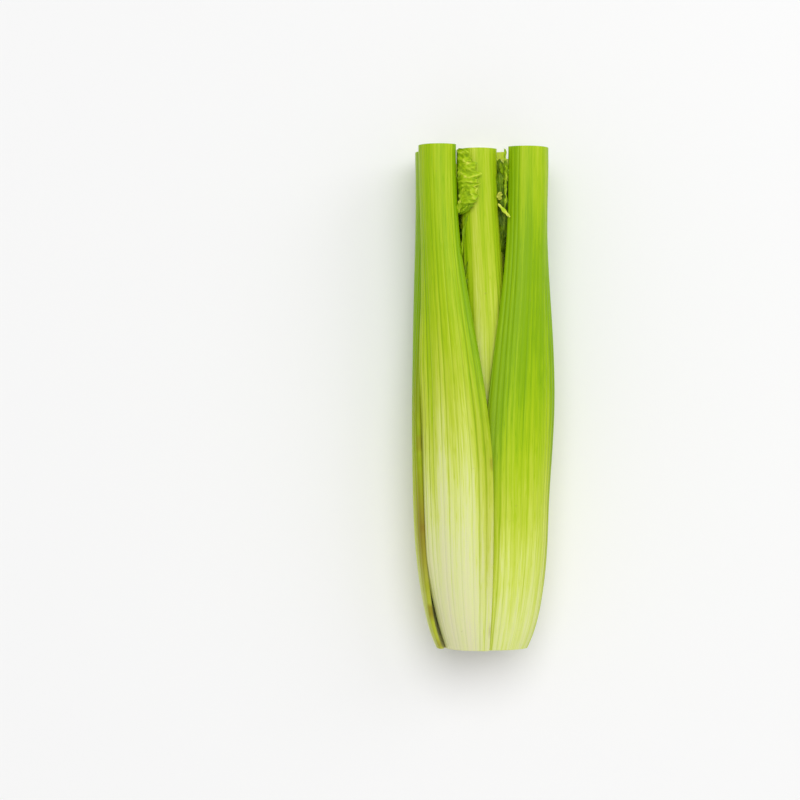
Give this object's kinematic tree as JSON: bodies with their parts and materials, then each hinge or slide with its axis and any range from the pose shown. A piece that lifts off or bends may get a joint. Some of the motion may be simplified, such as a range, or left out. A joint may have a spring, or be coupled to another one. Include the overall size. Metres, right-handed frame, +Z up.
{
  "type": "head of celery",
  "caption": "A trimmed head of celery lying on its side: ribbed curved stalks round a cut crown, with young leafy shoots between their cut tops.",
  "frame": {"origin": "middle of the flat spot that the lowest stalk rests on, halfway along the head", "axes": "+Y from the cut butt to the cut tops, +Z up and away from the surface it lies on, +X to the right seen from above"},
  "size_m": [0.0655, 0.228, 0.049],
  "materials": {
    "outer_stalk": "waxy, ribbed, pale cream at the butt and yellow-green above",
    "inner_stalk": "waxy, ribbed, paler yellow-green",
    "crown": "matt cut flesh, cream with tan browning",
    "leafy_shoot": "satin leaf with a paler slim stalk"
  },
  "bodies": {
    "root": {"stalk_front_left": "outer_stalk", "stalk_front_right": "outer_stalk", "stalk_right": "outer_stalk", "stalk_back": "outer_stalk", "stalk_left": "outer_stalk", "inner_stalk_front": "inner_stalk", "inner_stalk_right": "inner_stalk", "inner_stalk_back_right": "inner_stalk", "inner_stalk_back_left": "inner_stalk", "inner_stalk_left": "inner_stalk", "crown": "crown", "leafy_shoot_front_left": "leafy_shoot", "leafy_shoot_front_right": "leafy_shoot", "leafy_shoot_back_right": "leafy_shoot", "leafy_shoot_back_left": "leafy_shoot"}
  },
  "joints": []
}
